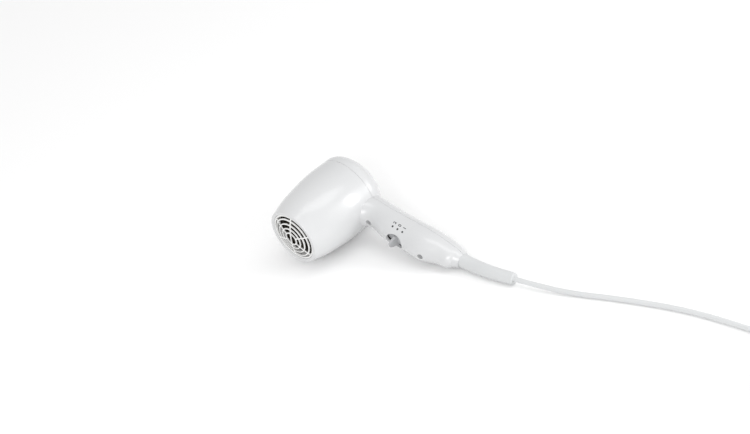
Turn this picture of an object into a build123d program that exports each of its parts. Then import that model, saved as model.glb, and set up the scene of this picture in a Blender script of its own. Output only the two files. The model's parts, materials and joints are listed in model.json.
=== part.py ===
from build123d import *
import math
import os

# Hair dryer lying on its side, with its mains lead. It is drawn in the handset's own frame: the barrel's
# axis is +X, toward the outlet, the handle's axis is +Y, and +Z is the side that faces up. LIE then lays
# it down, so that the barrel and the handle's bulge both touch the surface. Millimetres.

# driving dimensions
barrel_r = 39.3
lip_x, lip_r, mouth_r = 77.0, 30.0, 26.3
dome_x, dome_depth, dome_r = -8.0, 20.3, 38.4
wall = 2.2
seam_x, seam_gap = -4.0, 0.2
handle_end_y, exit_x = 156.0, -2.2
screw_ys = (47.0, 119.0)
seat_x, joint_x = 5.0, 1.0
grille_r, grille_tip = 85.0, 79.9
duct_r, duct_wall = 35.0, 1.7
fan_r, hub_r = 32.6, 10.5
motor_r, shaft_r = 13.85, 1.0
liner_r = 28.5
heater_back, heater_front = 37.0, 67.5
switch_y, switch_face_x, slide_tilt = 85.0, 19.9, 3.6
lie_tilt, crossing_y = 11.3, -87.9
sleeve_start_r, sleeve_end_r, cord_r = 7.25, 6.1, 2.5
coil_centre, coil_mid_r = (-52.4, 440.0), 28.0

# handle sections: distance down the handle, front edge, rear edge, half-width
handle_sections = [
    (34, 24.0, -16.2, 15.6),
    (40, 19.0, -16.2, 15.0),
    (48, 15.7, -16.1, 14.3),
    (62, 18.5, -15.8, 14.1),
    (85, 19.9, -15.3, 14.9),
    (106, 20.9, -16.1, 15.7),
    (122, 19.0, -16.2, 14.9),
    (138, 14.2, -15.1, 12.5),
    (150, 9.0, -12.8, 9.7),
]
collar_end = (6.0, -10.4, 7.8)

# the cord's sleeve, from inside the handle to its tip, and the lead's route along the surface
sleeve_end = (-32.7, 127.25, sleeve_end_r)
sleeve_route = [(-28.0, 49.25, 11.89), (-28.4, 73.55, 7.05), (-29.0, 100.0, 6.7), sleeve_end]
cord_route = [
    sleeve_end,
    (-35.74, 149.03, 5.68),
    (-45.0, 186.0, cord_r),
    (-62.8, 239.0, cord_r),
    (-78.8, 301.0, cord_r),
    (-84.6, 362.0, cord_r),
    (-86.3, 402.0, cord_r),
    (-85.4, 440.0, cord_r),
]
tail_route = [
    (-75.4, 440.0, 17.4),
    (-76.2, 458.0, 18.4),
    (-75.4, 476.0, 16.4),
    (-72.8, 494.0, 12.7),
    (-68.5, 512.0, 12.7),
]

os.makedirs("parts", exist_ok=True)

crossing = ((-(grille_tip + dome_x - dome_depth)) / 2, crossing_y, barrel_r)
LIE = Location(crossing) * Location((0, 0, 0), (-lie_tilt, 0, 0))


def save(name, *solids, lie=True):
    shape = solids[0] if len(solids) == 1 else Compound(children=list(solids))
    export_step(LIE * shape if lie else shape, f"parts/{name}.step")


def rod(x0, x1, r, y=0.0, z=0.0):
    """A cylinder along X."""
    return Pos(x0, y, z) * Rot(0, 90, 0) * Cylinder(r, x1 - x0, align=(Align.CENTER, Align.CENTER, Align.MIN))


def ring(x0, x1, r_out, r_in, y=0.0, z=0.0):
    return rod(x0, x1, r_out, y, z) - rod(x0 - 1, x1 + 1, r_in, y, z)


def block(x0, x1, y0, y1, z0, z1):
    centre = ((x0 + x1) / 2, (y0 + y1) / 2, (z0 + z1) / 2)
    return Pos(*centre) * Box(x1 - x0, y1 - y0, z1 - z0)


def spun(*edges):
    return revolve(make_face(Wire(list(edges))), Axis.X)


def barrel(inset, front_x):
    """The barrel and its rear dome, shrunk by inset, with a small flat at the dome's centre."""
    top = (dome_x, dome_r - inset)
    side = Spline(
        top, (14, barrel_r - inset), (32, 38.6 - inset), (47, 36.9 - inset), (60, 34.8 - inset),
        (front_x, lip_r + (lip_x - front_x) * 0.28 - inset), tangents=((1, 0.02), (1, -0.28)),
    )
    dome = EllipticalCenterArc((dome_x, 0), dome_depth - inset, dome_r - inset, start_angle=90, arc_size=86)
    face_r = (side @ 1).Y
    nose = Line((front_x, face_r), (front_x, 0))
    back = Line(dome @ 1, ((dome @ 1).X, 0))
    axis = Line(back @ 1, (front_x, 0))
    return Rot(157.5, 0, 0) * spun(side, nose, axis, back, dome)


def handle(inset):
    faces = []
    for y, front, rear, half_width in handle_sections:
        plane = Plane(origin=((front + rear) / 2, y, 0), x_dir=(0, 0, 1), z_dir=(0, 1, 0))
        faces.append(plane * Ellipse(half_width - inset, (front - rear) / 2 - inset))
    front, rear, half_width = collar_end
    foot = Plane(origin=((front + rear) / 2, handle_end_y, 0), x_dir=(0, 0, 1), z_dir=(0, 1, 0))
    collar = loft([faces[-1], foot * Ellipse(half_width - inset, (front - rear) / 2 - inset)])
    return loft(faces) + collar


def cavity(inset, end_wall):
    inner = handle(inset) & block(-60, 60, 0, handle_end_y - end_wall, -40, 40)
    return barrel(inset, lip_x - 3.0) + inner


# casings
outer = barrel(0, lip_x) + handle(0)
inner = cavity(wall, 4.0)
core = cavity(1.0, 2.0)
shell = outer - inner + (ring(68, lip_x, mouth_r + 1.8, mouth_r) & outer)
shell -= rod(60, 90, mouth_r)
mouth_edges = shell.edges().filter_by(GeomType.CIRCLE).filter_by_position(Axis.X, lip_x - 0.01, lip_x + 0.01)
shell = fillet(mouth_edges, 1.5)

front = shell & block(seam_x + seam_gap / 2, 100, -60, 200, -60, 60)
rear = shell & block(-60, seam_x - seam_gap / 2, -60, 200, -60, 60)
tongue = cavity(wall - 0.3, 3.7) - cavity(wall + 0.8, 4.8)
rear += tongue & block(seam_x - 2.0, seam_x - seam_gap / 2, -60, 200, -60, 60)
lip = cavity(wall + 0.1, 4.1) - cavity(wall + 0.8, 4.8)
rear += lip & block(seam_x - 2.0, seam_x + 1.6, -60, 200, -60, 60)

# screw wells open on the handle's front face, and bosses behind them in the rear housing
well_r, boss_r, pilot_r, screw_r = 3.0, 4.4, 1.2, 1.4
for y in screw_ys:
    front += rod(joint_x, 40, boss_r, y) & core
    front -= rod(seat_x, 45, well_r, y) + rod(joint_x - 1, 45, screw_r + 0.1, y)
    rear += (rod(-40, joint_x, boss_r - 0.9, y) & core) - rod(-12, joint_x + 1, screw_r, y)

# ribs that hold the fan duct and the heater's liner
for angle in (45, 135, 225, 315):
    rib = Rot(angle, 0, 0) * (block(2, 22, 34, 45, -1, 1) + block(40, 66, 27, 45, -1, 1))
    front += (rib & core) - rod(0, 24, duct_r) - rod(24, 68, liner_r)

# air intake: rings of slots in the dome, held together by spokes
slots, slot_pitch = Part(), 4.7
for k in range(6):
    slots += ring(-45, -11, 8.0 + slot_pitch * k, 5.4 + slot_pitch * k)
for k in range(8):
    slots -= Rot(45 * k + 22.5, 0, 0) * block(-50, 0, 0, 45, -1.4, 1.4)
rear -= slots & block(-60, -11, -33, 33, -33, 33)

# the cord's way out, shared by the two casings
exit_bore = Pos(exit_x, handle_end_y - 6, 0) * Rot(-90, 0, 0) * Cylinder(5.3, 20)
front -= exit_bore
rear -= exit_bore

# slide switch, in a frame of its own: +X out of the handle, +Y along the slide
SWITCH = Location((switch_face_x, switch_y, 0), (0, 0, -slide_tilt))
opening = loft([
    Plane(origin=(3, 0, 0), x_dir=(0, 1, 0), z_dir=(-1, 0, 0)) * Ellipse(10.6, 8.3),
    Plane(origin=(-5.4, 0, 0), x_dir=(0, 1, 0), z_dir=(-1, 0, 0)) * Ellipse(9.75, 7.35),
])
front -= SWITCH * opening
post_y = 27.2
for y in (-post_y, post_y):
    post = SWITCH * (rod(-8.5, 6, 2.2, y) & block(-8.5, -1.5, y - 3, y + 3, -3, 3))
    front += (post & core) - SWITCH * rod(-9, -4.2, 0.95, y)

# cord clamp posts and the rib under the lead
clamp_y, clamp_z = 139.0, 6.9
for z in (-clamp_z, clamp_z):
    rear += (rod(-40, 0.3, 2.3, clamp_y, z) & core) - rod(-9, 1, 1.05, clamp_y, z)
rear += block(-30, -4.75, clamp_y - 2.5, clamp_y + 2.5, -3, 3) & core
save("front_housing", front)
save("rear_housing", rear)

# outlet grille: a rim that plugs into the mouth, rings and spokes on a shallow dome
bar, bar_depth = 1.1, 1.0
sphere_x = grille_tip - grille_r
dome = (Pos(sphere_x, 0, 0) * Sphere(grille_r)) - (Pos(sphere_x, 0, 0) * Sphere(grille_r - bar_depth))
bars = Part()
for r in (7, 12, 17, 22):
    bars += ring(60, 90, r + bar / 2, r - bar / 2)
for k in range(6):
    bars += Rot(30 + 60 * k, 0, 0) * block(60, 90, 7, 26, -bar / 2, bar / 2)
bars += block(60, 90, -bar / 2, bar / 2, -7, 7)
rim = ring(69, 75.8, mouth_r - 0.1, mouth_r - 1.5)
save("outlet_grille", rim + (dome & bars & rod(60, 90, mouth_r - 0.8)))

# intake screen: fine mesh pressed against the inside of the dome
screen = barrel(wall + 0.1, lip_x - 3) - barrel(wall + 0.6, lip_x - 3)
save("intake_screen", screen & rod(-40, -15.4, 32.8))

# fan duct: outer tube, stator vanes, motor cradle, and the cone down to the heater's liner
tube = ring(-9, 24, duct_r, duct_r - duct_wall) + ring(0, 22, motor_r + 1.7, motor_r + 0.1)
for k in range(7):
    vane = Pos(11, 0, (duct_r + motor_r) / 2) * Box(20, 1.4, duct_r - motor_r - 2.2)
    tube += Rot(360 / 7 * k, 0, 0) * vane
cone = loft([Plane.YZ.offset(24) * Circle(duct_r), Plane.YZ.offset(30) * Circle(liner_r)])
cone -= loft([Plane.YZ.offset(24) * Circle(duct_r - duct_wall), Plane.YZ.offset(30) * Circle(liner_r - 1)])
wire_notch = block(22, 32, 20, 40, -10, 10)
save("fan_duct", tube + cone - wire_notch)

# fan: hub with a pressed shaft and seven pitched blades
fan = rod(-13, -3.5, hub_r) - rod(-20, 0, shaft_r)
for k in range(7):
    blade = Pos(-8.2, 0, (fan_r + hub_r) / 2 - 1) * Rot(0, 0, 38) * Box(1.4, 11, fan_r - hub_r + 1)
    fan += Rot(360 / 7 * k, 0, 0) * blade
save("fan_impeller", fan & rod(-14, -2.6, fan_r))

# motor: steel can with two magnets, armature on the shaft, plastic end cap, two bushes
save("motor_can", ring(-1, 24, motor_r, motor_r - 0.8) + ring(-2, -0.2, motor_r, 3.0))
arc = ring(3, 21, motor_r - 0.87, motor_r - 2.8)
save("motor_magnets", arc & block(0, 30, 3, 20, -20, 20), arc & block(0, 30, -20, -3, -20, 20))
armature = rod(4, 20, 10.4) + rod(20, 23.4, 3.6)
for k in range(5):
    armature -= Rot(72 * k, 0, 0) * block(3, 20.5, 4.5, 12, -1.1, 1.1)
save("motor_armature", armature - rod(0, 30, shaft_r))
save("motor_shaft", rod(-13, 27.6, shaft_r))
bushes = [ring(-2.5, 0.6, 3.0, shaft_r + 0.03), ring(24.6, 27.6, 2.8, shaft_r + 0.03)]
save("motor_bushes", *bushes)
save("motor_end_cap", rod(24, 27.0, motor_r) - rod(20, 30, 2.8))

# interference board on the motor's tail, with four rectifier diodes
board_pins = block(27, 29.5, 8, 9, -1.5, 1.5) + block(27, 29.5, -9, -8, -1.5, 1.5)
save("motor_board", rod(29.5, 31.0, 12) + board_pins)
diode_z = (-6.6, -2.2, 2.2, 6.6)
save("rectifier_diodes", *[Pos(32.5, 0, z) * Rot(90, 0, 0) * Cylinder(1.5, 6) for z in diode_z])

# heater: two interlocked mica boards, toothed at the edges, with the coils wound over them
mid_x = (heater_back + heater_front - 1) / 2
coil_xs = [41 + 6 * k for k in range(5)]
leaf = block(heater_back, heater_front - 1, -24, 24, -0.4, 0.4)
for x in coil_xs[:-1]:
    for side in (-1, 1):
        y0, y1 = sorted((23.5 * side, 27.4 * side))
        leaf += block(x + 1.8, x + 4.2, y0, y1, -0.4, 0.4)
leaf_b = Rot(90, 0, 0) * leaf
save("mica_board_a", leaf - block(mid_x, 90, -0.45, 0.45, -2, 2))
save("mica_board_b", leaf_b - block(0, mid_x, -0.45, 0.45, -2, 2))
save("heating_coils", *[Pos(x, 0, 0) * Rot(0, 90, 0) * Torus(25.75, 1.6) for x in coil_xs])
save("mica_liner", ring(30.2, heater_front, liner_r, liner_r - 0.5))
save("thermostat", block(55, 65, 5, 15, 0.4, 5.4) + Pos(60, 10, 5.4) * Cylinder(3.6, 3))
save("thermal_fuse", rod(50, 61, 1.9, -11, 2.3))

# switch: knob under the casing's opening, its carriage, the body with its strap, and terminals
plate_half, plate_side, knob_gap = 17.2, 10.6, 1.1
a_out, b_out = 17.5 - wall - knob_gap, 14.9 - wall - knob_gap
across = Plane(origin=(-17.5, -plate_half, 0), x_dir=(1, 0, 0), z_dir=(0, 1, 0))
plate = extrude(across * (Ellipse(a_out, b_out) - Ellipse(a_out - 2.4, b_out - 2.4)), 2 * plate_half)
plate &= block(-17.5, 5, -50, 50, -plate_side, plate_side)
for side in (-1, 1):
    plate -= Pos(5.4, side * 5.9, 0) * Cylinder(9.4, 2 * plate_side + 2) & block(-4.0, 5, -9.6, 9.6, -7, 7)
fin_side = Spline((-4, 2.3), (0, 1.5), (6.2, 0.95), tangents=((1, -0.35), (1, -0.05)))
fin_tip = ThreePointArc((6.2, 0.95), (7.15, 0), (6.2, -0.95))
fin_back = Spline((6.2, -0.95), (0, -1.5), (-4, -2.3), tangents=((-1, -0.05), (-1, -0.35)))
fin = extrude(make_face(Wire([fin_side, fin_tip, fin_back, Line((-4, -2.3), (-4, 2.3))])), 7, both=True)
fin &= extrude(Plane(origin=(-4, -5, 0), x_dir=(1, 0, 0), z_dir=(0, 1, 0)) * Ellipse(11.2, 5.4), 10)
stem = block(-8.2, -4.4, -3, 3, -2.4, 2.4)
save("switch_knob", SWITCH * (plate + fin + stem))
save("switch_carriage", SWITCH * block(-14.3, -8.2, -3.6, 3.6, -2.6, 2.6))
case = block(-19.5, -8.6, -15, 15, -5.2, 5.2) - block(-14.6, -5, -11.4, 11.4, -2.9, 2.9)
strap = block(-10.5, -8.6, -post_y - 1.5, post_y + 1.5, -2.6, 2.6) - block(-20, -5, -14.9, 14.9, -6, 6)
case += strap
for y in (-post_y, post_y):
    case -= rod(-12, -8, 1.05, y)
save("switch_body", SWITCH * case)
blades = [block(-24.5, -19.5, y - 0.4, y + 0.4, -2.5, 2.5) for y in (-11, -4, 4, 11)]
save("switch_terminals", *[SWITCH * b for b in blades])
switch_screws = [rod(-12, -10.5, 1.6, y) + rod(-10.5, -4.4, 0.8, y) for y in (-post_y, post_y)]
save("switch_screws", *[SWITCH * s for s in switch_screws])

# casing screws: pan head with a cross recess, deep in the wells
screws = []
for y in screw_ys:
    screw = rod(seat_x, seat_x + 2.2, 2.7, y) + rod(-11.5, seat_x, screw_r, y)
    screw -= block(seat_x + 1, seat_x + 3, y - 1.7, y + 1.7, -0.35, 0.35)
    screws.append(screw - block(seat_x + 1, seat_x + 3, y - 0.35, y + 0.35, -1.7, 1.7))
save("housing_screws", *screws)

# in the handle: capacitor, clamp with two screws
save("suppression_capacitor", block(4.5, 10.5, 124.5, 133, -6.5, 6.5))
bridge = block(0.3, 3.2, clamp_y - 3, clamp_y + 2.5, -8.9, 8.9)
bridge -= Pos(exit_x, clamp_y, 0) * Rot(90, 0, 0) * Cylinder(cord_r, 20)
for z in (-clamp_z, clamp_z):
    bridge -= rod(-1, 5, 1.2, clamp_y, z)
save("cord_clamp", bridge)
clamp_screws = []
for z in (-clamp_z, clamp_z):
    clamp_screws.append(rod(3.2, 4.8, 1.7, clamp_y, z) + rod(-8.5, 3.2, 0.95, clamp_y, z))
save("clamp_screws", *clamp_screws)


def round_route(points, radii, r):
    """A tube of radius r along straight runs joined by tangent arcs."""
    path = FilletPolyline(*points, radius=radii)
    start = Plane(origin=path @ 0, z_dir=path % 0)
    return sweep(start * Circle(r), path=path)


# wires: two conductors from the lead to the switch, and on to the heater
def wire(points, radius):
    return round_route(points, [radius] * (len(points) - 2), 0.8)


for name, z in (("live_wires", 1), ("neutral_wires", -1)):
    up = wire([(exit_x, 132.5, z), (-5, 126, 6.6 * z), (-6.5, 110, 7.4 * z), (-8, 100, 4.4 * z),
               (-7, 96.2, 1.9 * z)], 3)
    on = wire([(-8.6, 73.8, 1.9 * z), (-8, 66, 5 * z), (-3, 54, 8.0 * z), (4, 44, 8.2 * z),
               (12, 38.5, 8.2 * z)], 3)
    save(name, up, on)

# sleeve: bends from the handle's line to lie along the surface; the lead runs through its bore
sleeve_path = FilletPolyline(*sleeve_route, radius=[110, 150])
sleeve_from = 0.115
sections = []
for k in range(7):
    t = sleeve_from + (1 - sleeve_from) * k / 6
    r = sleeve_start_r + (sleeve_end_r - sleeve_start_r) * k / 6
    sections.append(Plane(origin=sleeve_path @ t, z_dir=sleeve_path % t) * Circle(r))
print("sleeve path length", round(sleeve_path.length, 2))
body = loft(sections)
bore = sweep(Plane(origin=sleeve_path @ 0, z_dir=sleeve_path % 0) * Circle(cord_r), path=sleeve_path)
beyond = LIE * block(-60, 60, handle_end_y, 300, -60, 60)
neck = LIE * (Pos(exit_x, 150, 0) * Rot(-90, 0, 0) * Cylinder(5.1, 12.4))
collar = LIE * (Pos(exit_x, 149, 0) * Rot(-90, 0, 0) * Cylinder(5.9, 4))
save("cable_sleeve", (body & beyond) + neck + collar - bore, lie=False)
save("supply_lead", bore, lie=False)


def turn_radii(route, share=0.45):
    """Each corner's arc: share of its shorter run over the tangent of half the turn."""
    radii = []
    for a, b, c in zip(route, route[1:], route[2:]):
        before, after = Vector(*b) - Vector(*a), Vector(*c) - Vector(*b)
        half = math.radians(before.get_angle(after)) / 2
        radii.append(share * min(before.length, after.length) / math.tan(half))
    return radii


for name, route in (("power_cord", cord_route), ("cord_tail", tail_route)):
    radii = turn_radii(route)
    runs = [round((Vector(*b) - Vector(*a)).length, 1) for a, b in zip(route, route[1:])]
    solid = round_route(route, radii, cord_r)
    length = FilletPolyline(*route, radius=radii).length
    print(name, "radii", [round(r, 1) for r in radii], "runs", runs, "length", round(length, 1))
    print(name, "volume over section times length", solid.volume / (math.pi * cord_r**2 * length))
    save(name, solid, lie=False)

# coil: the put-away turns as one ring, with its tie
COIL = Pos(*coil_centre, 0)
coil_out, coil_in, coil_height = coil_mid_r + 7.8, coil_mid_r - 7.8, 15.4
coil = Cylinder(coil_out, coil_height, align=(Align.CENTER, Align.CENTER, Align.MIN))
coil -= Cylinder(coil_in, 3 * coil_height)
coil = fillet(coil.edges().filter_by(GeomType.CIRCLE), 2.4)
save("cord_coil", COIL * coil, lie=False)
tie = block(coil_in - 1.6, coil_out + 1.6, -3, 3, 0, coil_height + 1.4)
tie -= block(coil_in - 0.4, coil_out + 0.4, -4, 4, -1, coil_height + 0.2)
save("coil_tie", COIL * Rot(0, 0, -25) * tie, lie=False)

# plug: moulded two-pin body with a tapered relief, lying flat beside the coil
aim = Vector(*tail_route[-1]) - Vector(*tail_route[-2])
PLUG = Location(Plane(origin=tail_route[-1], x_dir=(aim.Y, -aim.X, 0), z_dir=aim))
relief_len, body_len, pin_len, pin_r, pin_gap = 26.0, 34.0, 19.0, 2.4, 19.0
relief = loft([Circle(4.0), Pos(0, 0, relief_len) * Circle(6.4)])
head_face = Pos(0, 0, relief_len + 12) * RectangleRounded(35, 25, 11)
shoulder = loft([Pos(0, 0, relief_len) * RectangleRounded(20, 17, 6), head_face])
head = extrude(head_face, body_len - 12)
save("plug_relief", PLUG * relief, lie=False)
save("plug_body", PLUG * (shoulder + head), lie=False)
pins = []
for side in (-1, 1):
    pin = Rot(0, -90, 0) * rod(0, pin_len, pin_r)
    pin = Pos(side * pin_gap / 2, 0, relief_len + body_len) * pin
    pins.append(PLUG * fillet(pin.edges().sort_by(Axis.Z)[-1], 1.2))
save("plug_pins", *pins, lie=False)
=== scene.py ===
import json
import math
import bmesh
import bpy
from mathutils import Matrix, Vector
from mathutils.bvhtree import BVHTree


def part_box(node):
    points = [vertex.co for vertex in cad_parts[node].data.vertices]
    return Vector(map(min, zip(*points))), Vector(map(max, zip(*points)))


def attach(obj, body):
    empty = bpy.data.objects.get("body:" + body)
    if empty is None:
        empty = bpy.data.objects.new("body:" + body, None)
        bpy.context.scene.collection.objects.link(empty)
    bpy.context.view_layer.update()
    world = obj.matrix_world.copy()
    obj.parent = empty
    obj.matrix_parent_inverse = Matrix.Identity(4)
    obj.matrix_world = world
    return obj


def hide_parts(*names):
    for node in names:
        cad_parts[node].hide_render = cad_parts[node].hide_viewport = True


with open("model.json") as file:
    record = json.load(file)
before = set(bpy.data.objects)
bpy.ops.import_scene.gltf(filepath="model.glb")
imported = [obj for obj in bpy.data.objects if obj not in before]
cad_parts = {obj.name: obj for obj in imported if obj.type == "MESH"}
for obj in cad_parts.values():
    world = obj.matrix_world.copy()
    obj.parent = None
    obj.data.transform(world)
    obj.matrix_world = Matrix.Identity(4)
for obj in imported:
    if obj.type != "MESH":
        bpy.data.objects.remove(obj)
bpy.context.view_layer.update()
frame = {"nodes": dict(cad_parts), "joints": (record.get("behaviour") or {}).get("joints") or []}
nodes = frame["nodes"]
MM = 0.001

# ---------------------------------------------------------------- camera
# Long lens from the front and above, looking down on the dryer as it lies on its side.
sight_right = Vector((-0.671, 0.7047, -0.2346)).normalized()
sight_back = Vector((0.477, 0.652, 0.5912))
sight_back = (sight_back - sight_back.dot(sight_right) * sight_right).normalized()
sight_up = sight_back.cross(sight_right)
sight_point = Vector((-15.4, -35.9, 35.9)) * MM
camera_data = bpy.data.cameras.new("camera")
camera_data.lens = 100.0
camera_data.sensor_width = 36.0
camera_data.clip_end = 20.0
camera = bpy.data.objects.new("camera", camera_data)
turn = Matrix((sight_right, sight_up, sight_back)).transposed().to_4x4()
camera_distance = 2.08
camera.matrix_world = Matrix.Translation(sight_point + sight_back * camera_distance) @ turn
bpy.context.collection.objects.link(camera)
bpy.context.scene.camera = camera

# ---------------------------------------------------------------- power cord
# Round two-core lead with a soft white vinyl jacket, 1.8 m long. It runs from the sleeve's tip along
# the surface, is wound for storage into a neat coil of three layers, and ends in the plug.
cord_d = 5.0 * MM


def shader(name, colour, roughness, **sockets):
    """A material with its Principled shader; sockets are set by name."""
    made = bpy.data.materials.new(name)
    made.use_nodes = True
    surface = made.node_tree.nodes["Principled BSDF"]
    surface.inputs["Base Color"].default_value = (*colour, 1.0)
    surface.inputs["Roughness"].default_value = roughness
    for label, value in sockets.items():
        surface.inputs[label.replace("_", " ")].default_value = value
    return made, made.node_tree, surface


def add(tree, kind, **settings):
    """A node of that kind, with its sockets or properties set."""
    node = tree.nodes.new(kind)
    for label, value in settings.items():
        if hasattr(node, label):
            setattr(node, label, value)
        else:
            node.inputs[label.replace("_", " ")].default_value = value
    return node


def mottle(tree, surface, dark, light, scale, detail=3.0):
    """Colour that drifts between two shades in soft clouds."""
    place = add(tree, "ShaderNodeTexCoord")
    cloud = add(tree, "ShaderNodeTexNoise", Scale=scale, Detail=detail)
    ramp = add(tree, "ShaderNodeValToRGB")
    ramp.color_ramp.elements[0].position = 0.35
    ramp.color_ramp.elements[0].color = (*dark, 1)
    ramp.color_ramp.elements[1].position = 0.65
    ramp.color_ramp.elements[1].color = (*light, 1)
    tree.links.new(place.outputs["Object"], cloud.inputs["Vector"])
    tree.links.new(cloud.outputs["Fac"], ramp.inputs["Fac"])
    tree.links.new(ramp.outputs["Color"], surface.inputs["Base Color"])
    return place


def grain(tree, surface, place, scale, height, strength=1.0):
    """Fine bumps of the mould's texture."""
    fine = add(tree, "ShaderNodeTexNoise", Scale=scale, Detail=4.0)
    bump = add(tree, "ShaderNodeBump", Strength=strength, Distance=height)
    tree.links.new(place.outputs["Object"], fine.inputs["Vector"])
    tree.links.new(fine.outputs["Fac"], bump.inputs["Height"])
    tree.links.new(bump.outputs["Normal"], surface.inputs["Normal"])
    return fine


def rough_patches(tree, surface, place, low, high, scale):
    """Roughness that varies with handling."""
    patch = add(tree, "ShaderNodeTexNoise", Scale=scale, Detail=5.0)
    spread = add(tree, "ShaderNodeMapRange", To_Min=low, To_Max=high, From_Min=0.3, From_Max=0.7)
    tree.links.new(place.outputs["Object"], patch.inputs["Vector"])
    tree.links.new(patch.outputs["Fac"], spread.inputs["Value"])
    tree.links.new(spread.outputs["Result"], surface.inputs["Roughness"])


def moulded(name, colour, low, high, texture=1500.0, height=0.00001):
    """Moulded plastic: slight clouds of shade, a fine mould texture, gloss that varies with handling."""
    made, tree, surface = shader(name, colour, low)
    dark = tuple(c * 0.97 for c in colour)
    place = mottle(tree, surface, dark, colour, 25.0)
    rough_patches(tree, surface, place, low, high, 60.0)
    grain(tree, surface, place, texture, height)
    return made


vinyl = moulded("soft_white_vinyl", (0.60, 0.61, 0.615), 0.38, 0.52, 2200.0, 0.00003)

cord_route = [
    (-0.0327, 0.12725, 0.0061),
    (-0.03574, 0.14903, 0.00568),
    (-0.045, 0.186, 0.0025),
    (-0.0628, 0.239, 0.0025),
    (-0.0788, 0.301, 0.0025),
    (-0.0846, 0.362, 0.0025),
    (-0.0863, 0.402, 0.0025),
]
tail_route = [
    (-0.0754, 0.4400, 0.0174),
    (-0.0762, 0.4580, 0.0184),
    (-0.0754, 0.4760, 0.0164),
    (-0.0728, 0.4940, 0.0127),
    (-0.0685, 0.5120, 0.0127),
]
coil_low, coil_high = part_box("cord_coil")
coil_centre = (coil_low + coil_high) / 2
coil_mid_r = 28.0 * MM
coil_turns = 8
turns_a_layer = 3
step_over = 0.25  # share of a turn in which the lead moves to the next place or layer
rise_to_plug, rise_over = 0.9, 0.3  # how far, and over what share of a turn, it rises to the plug
points_a_turn = 16
pull_in = math.cos(math.pi / points_a_turn)


def ease(t):
    t = min(max(t, 0.0), 1.0)
    return t * t * (3 - 2 * t)


def coil_point(u):
    """A point of the wound lead after u turns: three turns in each layer, three layers."""
    layer, along = divmod(u, float(turns_a_layer))
    last_place = turns_a_layer - 1
    across = min(int(along), last_place)
    if along < last_place:
        across += ease((along % 1.0 - 1.0 + step_over) / step_over)
    inward = layer % 2 == 0
    step = 1.0 - across if inward else across - 1.0
    climb = layer
    if layer < last_place:
        climb += ease((along - turns_a_layer + step_over) / step_over)
    else:
        climb += rise_to_plug * ease((u - coil_turns + rise_over) / rise_over)
    r = (coil_mid_r + step * cord_d) / pull_in
    angle = math.pi - 2 * math.pi * u
    x = coil_centre.x + r * math.cos(angle)
    y = coil_centre.y + r * math.sin(angle)
    return (x, y, cord_d / 2 + climb * cord_d)


wound = [coil_point(k / points_a_turn) for k in range(int(coil_turns * points_a_turn))]
cord_points = cord_route + wound + tail_route
cord_curve = bpy.data.curves.new("power_lead", "CURVE")
cord_curve.dimensions = "3D"
cord_curve.bevel_depth = cord_d / 2
cord_curve.bevel_resolution = 6
cord_curve.use_fill_caps = True
line = cord_curve.splines.new("NURBS")
line.points.add(len(cord_points) - 1)
for spot, place in zip(line.points, cord_points):
    spot.co = (*place, 1.0)
line.order_u = 3
line.use_endpoint_u = True
line.resolution_u = 8
lead = bpy.data.objects.new("power_lead", cord_curve)
bpy.context.collection.objects.link(lead)
cord_curve.materials.append(vinyl)
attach(lead, "handset")
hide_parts("power_cord", "cord_coil", "cord_tail")

# ---------------------------------------------------------------- cable sleeve
# Soft vinyl protector moulded over the lead where it leaves the handle. It tapers to the tip and bends
# with the lead. The lead's own jacket runs on through its bore into the handle.


def finish_node(name, material):
    """Gives a CAD node its real material."""
    nodes[name].data.materials.clear()
    nodes[name].data.materials.append(material)
    for face in nodes[name].data.polygons:
        face.material_index = 0


sleeve_vinyl = moulded("sleeve_vinyl", (0.58, 0.59, 0.595), 0.40, 0.55, 1800.0, 0.00004)
finish_node("cable_sleeve", sleeve_vinyl)
finish_node("supply_lead", vinyl)

# ---------------------------------------------------------------- casings
# Front and rear casing, injection moulded in glossy white plastic with a polished face. They meet at a
# narrow seam across the barrel and down both sides of the handle, and two screws pull them together.
casing_white = (0.575, 0.58, 0.585)
casing, casing_tree, casing_surface = shader("white_casing", casing_white, 0.2, Coat_Weight=0.35,
                                             Coat_Roughness=0.08)
casing_place = mottle(casing_tree, casing_surface, (0.565, 0.57, 0.577), (0.588, 0.593, 0.598), 14.0)
rough_patches(casing_tree, casing_surface, casing_place, 0.22, 0.27, 30.0)
grain(casing_tree, casing_surface, casing_place, 420.0, 0.000006, 0.4)
finish_node("front_housing", casing)
finish_node("rear_housing", casing)

# ---------------------------------------------------------------- outlet grille
# White moulded grille of four rings, six spokes and one centre bar, plugged into the mouth. It stands
# the heat, so it is a slightly warmer, less glossy plastic than the casing.
grille_white = moulded("grille_plastic", (0.80, 0.80, 0.79), 0.28, 0.40, 900.0, 0.000015)
finish_node("outlet_grille", grille_white)

# ---------------------------------------------------------------- printed marks
# Pad-printed dots and figures beside the switch, in black ink a few hundredths of a millimetre thick:
# two speeds toward the barrel and the cord, and off in the middle.
slide = next(j for j in frame["joints"] if j["name"] == "switch_slide")
slide_way = Vector(slide["axis"]).normalized()
ahead = Vector((1, 0, 0))
down_handle = Vector((0, slide_way.y, slide_way.z)).normalized()
upward = ahead.cross(down_handle)
mouth_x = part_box("front_housing")[1].x
shaft_low, shaft_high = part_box("motor_shaft")
shaft_mid = (shaft_low + shaft_high) / 2
mouth_from_handle = 77 * MM
crossing = Vector((mouth_x - mouth_from_handle, shaft_mid.y, shaft_mid.z))


def at(x, y, z):
    """A point of the handset, in mm: toward the outlet, down the handle, and to the upper side."""
    return crossing + (x * ahead + y * down_handle + z * upward) * MM


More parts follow.
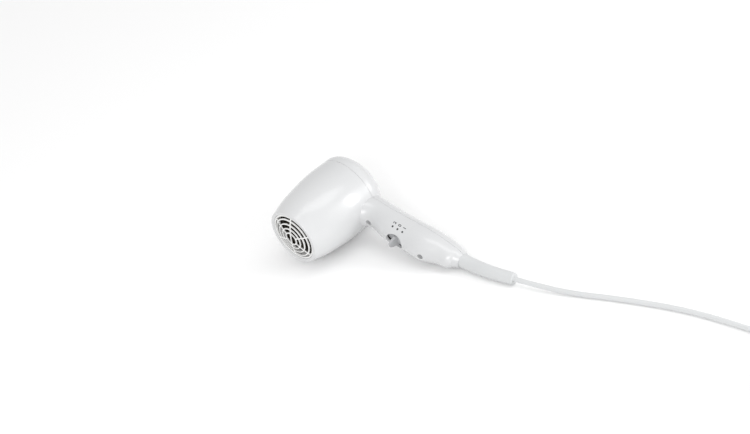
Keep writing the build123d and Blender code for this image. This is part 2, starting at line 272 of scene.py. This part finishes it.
front_mesh = nodes["front_housing"].data
skin = BVHTree.FromPolygons([v.co for v in front_mesh.vertices], [p.vertices for p in front_mesh.polygons])
ink, ink_tree, ink_surface = shader("black_ink", (0.02, 0.02, 0.022), 0.42)
ink_place = mottle(ink_tree, ink_surface, (0.014, 0.014, 0.015), (0.03, 0.03, 0.032), 900.0)
grain(ink_tree, ink_surface, ink_place, 6000.0, 0.00001)


def printed(name, outline_mesh, centre, facing, along):
    """Lays a flat mesh, drawn in mm, onto the casing as a thin layer of ink."""
    lift, stand_off = 0.03 * MM, 6 * MM
    facing = facing.normalized()
    right = (along - along.dot(facing) * facing).normalized()
    up = facing.cross(right)
    cut = bmesh.new()
    cut.from_mesh(outline_mesh)
    bmesh.ops.triangulate(cut, faces=cut.faces[:])
    bmesh.ops.subdivide_edges(cut, edges=cut.edges[:], cuts=3, use_grid_fill=True)
    cut.to_mesh(outline_mesh)
    cut.free()
    for v in outline_mesh.vertices:
        spot = centre + (right * v.co.x + up * v.co.y) * MM + facing * stand_off
        hit, normal, _, _ = skin.ray_cast(spot, -facing)
        v.co = hit + normal * lift
    mark = bpy.data.objects.new(name, outline_mesh)
    bpy.context.collection.objects.link(mark)
    outline_mesh.materials.clear()
    outline_mesh.materials.append(ink)
    layer = mark.modifiers.new("ink", "SOLIDIFY")
    layer.thickness = 0.04 * MM
    layer.offset = 0.0
    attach(mark, "handset")
    return mark


mark_pitch = 6.5
mark_y = 84.6
dot_r, figure_height = 1.05, 5.0
dot_x, dot_z = 12.6, 11.6
figure_x, figure_z = 8.6, 13.2
for step in (-1, 0, 1):
    dot = bpy.data.meshes.new(f"dot_{step + 1}")
    disc = bmesh.new()
    bmesh.ops.create_circle(disc, cap_ends=True, radius=dot_r, segments=28)
    disc.to_mesh(dot)
    disc.free()
    printed(f"mark_dot_{step + 1}", dot, at(dot_x, mark_y + step * mark_pitch, dot_z),
            0.62 * ahead + 0.78 * upward, down_handle)

for step, figure in zip((-1, 0, 1), "201"):
    text = bpy.data.curves.new(f"figure_{figure}", "FONT")
    text.body = figure
    text.size = figure_height
    text.offset = 0.09
    text.resolution_u = 6
    text.align_x = "CENTER"
    text.align_y = "CENTER"
    drawn = bpy.data.objects.new("drawn", text)
    bpy.context.collection.objects.link(drawn)
    bpy.context.view_layer.update()
    flat = bpy.data.meshes.new_from_object(drawn)
    bpy.data.objects.remove(drawn)
    facing = 0.4 * ahead + 0.92 * upward
    printed(f"mark_{figure}", flat, at(figure_x, mark_y + step * mark_pitch, figure_z), facing,
            facing.cross(down_handle))

# ---------------------------------------------------------------- switch
# Grey slider, moulded in a matt plastic: a dished plate that runs under the casing's opening, with one
# thin fin for the thumb. Its black carriage slides in a phenolic switch with four brass blades.
knob_grey = moulded("knob_grey", (0.40, 0.405, 0.415), 0.42, 0.55, 2600.0, 0.00004)
switch_black = moulded("switch_phenolic", (0.03, 0.03, 0.032), 0.45, 0.6)
finish_node("switch_knob", knob_grey)
finish_node("switch_carriage", switch_black)
finish_node("switch_body", switch_black)


def metal(name, colour, low, high):
    """Bare or plated metal with a faint drawn grain."""
    made, tree, surface = shader(name, colour, low, Metallic=1.0)
    dark = tuple(c * 0.85 for c in colour)
    place = mottle(tree, surface, dark, colour, 120.0)
    rough_patches(tree, surface, place, low, high, 300.0)
    grain(tree, surface, place, 3000.0, 0.00001, 0.7)
    return made


brass = metal("stamped_brass", (0.78, 0.6, 0.28), 0.25, 0.4)
zinc = metal("zinc_plated_steel", (0.62, 0.63, 0.65), 0.25, 0.42)
finish_node("switch_terminals", brass)
for fastener in ("switch_screws", "housing_screws", "clamp_screws"):
    finish_node(fastener, zinc)

# ---------------------------------------------------------------- lead clamp, wires and capacitor
# Nylon bridge and two screws grip the lead just inside the handle. Brown and blue conductors run past
# the switch to the heater, and a yellow box capacitor sits across them.
nylon = moulded("natural_nylon", (0.60, 0.59, 0.54), 0.35, 0.5)
finish_node("cord_clamp", nylon)
finish_node("live_wires", moulded("brown_vinyl", (0.16, 0.06, 0.025), 0.3, 0.45))
finish_node("neutral_wires", moulded("blue_vinyl", (0.03, 0.11, 0.38), 0.3, 0.45))
finish_node("suppression_capacitor", moulded("yellow_epoxy", (0.62, 0.42, 0.05), 0.25, 0.4))

# ---------------------------------------------------------------- fan and duct
# Seven-bladed axial fan and the duct around it, with its stator vanes and the motor's cradle, both
# moulded in black glass-filled nylon, whose fibres leave a dull, slightly streaked skin.
filled_nylon = moulded("glass_filled_nylon", (0.045, 0.045, 0.048), 0.45, 0.65, 700.0, 0.00006)
finish_node("fan_impeller", filled_nylon)
finish_node("fan_duct", filled_nylon)

# ---------------------------------------------------------------- motor
# Small direct-current motor: a drawn steel can with two ferrite magnets, a five-slot armature wound in
# copper on its shaft, bronze bushes and a nylon end cap, with the interference board on its tail.
finish_node("motor_can", metal("drawn_steel", (0.55, 0.56, 0.57), 0.3, 0.45))
finish_node("motor_shaft", metal("ground_steel", (0.66, 0.66, 0.67), 0.15, 0.25))
finish_node("motor_bushes", metal("sintered_bronze", (0.5, 0.33, 0.16), 0.4, 0.6))
finish_node("motor_armature", metal("armature_copper", (0.5, 0.2, 0.09), 0.35, 0.55))
finish_node("motor_magnets", moulded("ferrite", (0.035, 0.035, 0.038), 0.55, 0.75))
finish_node("motor_end_cap", filled_nylon)
finish_node("motor_board", moulded("paper_laminate", (0.35, 0.2, 0.08), 0.4, 0.6))
finish_node("rectifier_diodes", moulded("diode_epoxy", (0.02, 0.02, 0.02), 0.3, 0.5))

# ---------------------------------------------------------------- heater
# Two interlocked mica boards carry the element, inside a rolled mica liner. The element is nichrome
# wire, wound into a fine coil and then laid over the boards' teeth in five turns. The mica and the wire
# are coloured much darker than they are, as painted shade for the dim inside of the barrel.
# Mica's brown tone, painted much darker as shade for the barrel's dim inside.
mica, mica_tree, mica_surface = shader("mica", (0.07, 0.06, 0.045), 0.4)
mica_place = mottle(mica_tree, mica_surface, (0.035, 0.03, 0.022), (0.10, 0.088, 0.066), 350.0, 8.0)
rough_patches(mica_tree, mica_surface, mica_place, 0.2, 0.5, 500.0)
grain(mica_tree, mica_surface, mica_place, 1200.0, 0.00004)
for leaf in ("mica_board_a", "mica_board_b", "mica_liner"):
    finish_node(leaf, mica)
finish_node("thermostat", zinc)
finish_node("thermal_fuse", zinc)


def wires(name, paths, thickness, material, closed=False):
    """One piece made of round wires that follow the paths."""
    drawn = bpy.data.curves.new(name, "CURVE")
    drawn.dimensions = "3D"
    drawn.bevel_depth = thickness / 2
    drawn.bevel_resolution = 1
    drawn.use_fill_caps = not closed
    for path in paths:
        strand = drawn.splines.new("POLY")
        strand.points.add(len(path) - 1)
        for spot, place in zip(strand.points, path):
            spot.co = (*place, 1.0)
        strand.use_cyclic_u = closed
    drawn.materials.append(material)
    piece = bpy.data.objects.new(name, drawn)
    bpy.context.collection.objects.link(piece)
    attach(piece, "handset")
    return piece


def around(x, r, angle):
    """A point at that distance from the barrel's axis, in mm."""
    return at(x, r * math.cos(angle), r * math.sin(angle))


# Nichrome grey, painted much darker as shade for the barrel's dim inside.
nichrome = metal("nichrome", (0.13, 0.12, 0.115), 0.4, 0.6)
small_turns, spots_a_turn, element_r, coil_r = 74, 9, 25.75, 1.45
element = []
ring_xs = range(41, 66, 6)
for ring_x in ring_xs:
    loop = []
    for k in range(small_turns * spots_a_turn):
        around_axis = 2 * math.pi * k / (small_turns * spots_a_turn)
        small = 2 * math.pi * k / spots_a_turn
        x = ring_x + coil_r * math.sin(small)
        loop.append(around(x, element_r + coil_r * math.cos(small), around_axis))
    element.append(loop)
element_wire = 0.4 * MM
winding = wires("heating_element", element, element_wire, nichrome, closed=True)
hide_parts("heating_coils")

# ---------------------------------------------------------------- intake screen
# Woven steel wire, pressed to the dome's curve and heat-staked inside the rear casing, which keeps hair
# out of the fan.
screen_low, screen_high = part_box("intake_screen")
screen_r = (screen_high.y - screen_low.y) / 2 / MM
mesh_pitch, weave_depth = 1.6, 0.12
dome_x, dome_depth, dome_r = -8.0, 17.8, 35.9


def on_dome(y, z, lift):
    bulge = math.sqrt(max(0.0, 1 - (y * y + z * z) / dome_r**2))
    return at(dome_x - (dome_depth + lift) * bulge, y, z)


weft = []
count = int(screen_r / mesh_pitch)
for k in range(-count, count + 1):
    offset = k * mesh_pitch
    half = math.sqrt(screen_r**2 - offset**2) * 0.995
    spots = max(6, int(2 * half / (mesh_pitch / 2)))
    for turned in (0, 1):
        strand = []
        for n in range(spots + 1):
            run = -half + 2 * half * n / spots
            weave = weave_depth * math.cos(math.pi * (run / mesh_pitch + k + turned))
            y, z = (run, offset) if turned else (offset, run)
            strand.append(on_dome(y, z, weave))
        weft.append(strand)
screen_wire = metal("screen_wire", (0.36, 0.36, 0.37), 0.3, 0.45)
screen = wires("intake_wire_screen", weft, 0.28 * MM, screen_wire)
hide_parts("intake_screen")

# ---------------------------------------------------------------- plug and coil tie
# Two-pin plug moulded in white vinyl onto the lead, with nickel-plated pins. A nylon strap holds the
# wound lead.
plug_vinyl = moulded("plug_vinyl", (0.59, 0.60, 0.605), 0.36, 0.5, 1400.0, 0.00004)
finish_node("plug_body", plug_vinyl)
finish_node("plug_relief", plug_vinyl)
finish_node("plug_pins", metal("nickel_plate", (0.72, 0.7, 0.66), 0.16, 0.28))
finish_node("coil_tie", nylon)

# ---------------------------------------------------------------- floor and lights
# A pale sweep under soft studio light: a long soft box above the barrel, a strip along its edge, a fill
# and a bright room.
floor_mesh = bpy.data.meshes.new("floor")
floor_half = 6.0
floor_z = -0.0004
corners = [(-floor_half, -floor_half), (floor_half, -floor_half), (floor_half, floor_half),
           (-floor_half, floor_half)]
floor_mesh.from_pydata([(x, y, floor_z) for x, y in corners], [], [(0, 1, 2, 3)])
floor = bpy.data.objects.new("floor", floor_mesh)
bpy.context.collection.objects.link(floor)
floor_mesh.materials.append(shader("pale_floor", (0.93, 0.93, 0.93), 0.9)[0])

room = bpy.data.worlds.new("room")
bpy.context.scene.world = room
room.use_nodes = True
room.node_tree.nodes["Background"].inputs["Color"].default_value = (1.0, 1.0, 1.0, 1.0)
room.node_tree.nodes["Background"].inputs["Strength"].default_value = 0.86


def soft_box(name, place, target, size, watts):
    lamp = bpy.data.lights.new(name, "AREA")
    lamp.shape = "RECTANGLE"
    lamp.size, lamp.size_y = size
    lamp.energy = watts
    box = bpy.data.objects.new(name, lamp)
    box.location = place
    box.rotation_euler = (Vector(place) - Vector(target)).to_track_quat("Z", "Y").to_euler()
    bpy.context.collection.objects.link(box)


soft_box("top_box", (-0.25, 0.35, 1.5), (0, 0, 0.04), (0.5, 1.2), 3.5)
soft_box("edge_strip", (-0.57, 1.0, 0.35), (0, -0.088, 0.04), (0.16, 0.6), 5)
soft_box("front_fill", (1.2, 0.9, 0.9), (0, 0, 0.04), (0.8, 0.8), 9)
bpy.context.scene.view_settings.view_transform = "Standard"
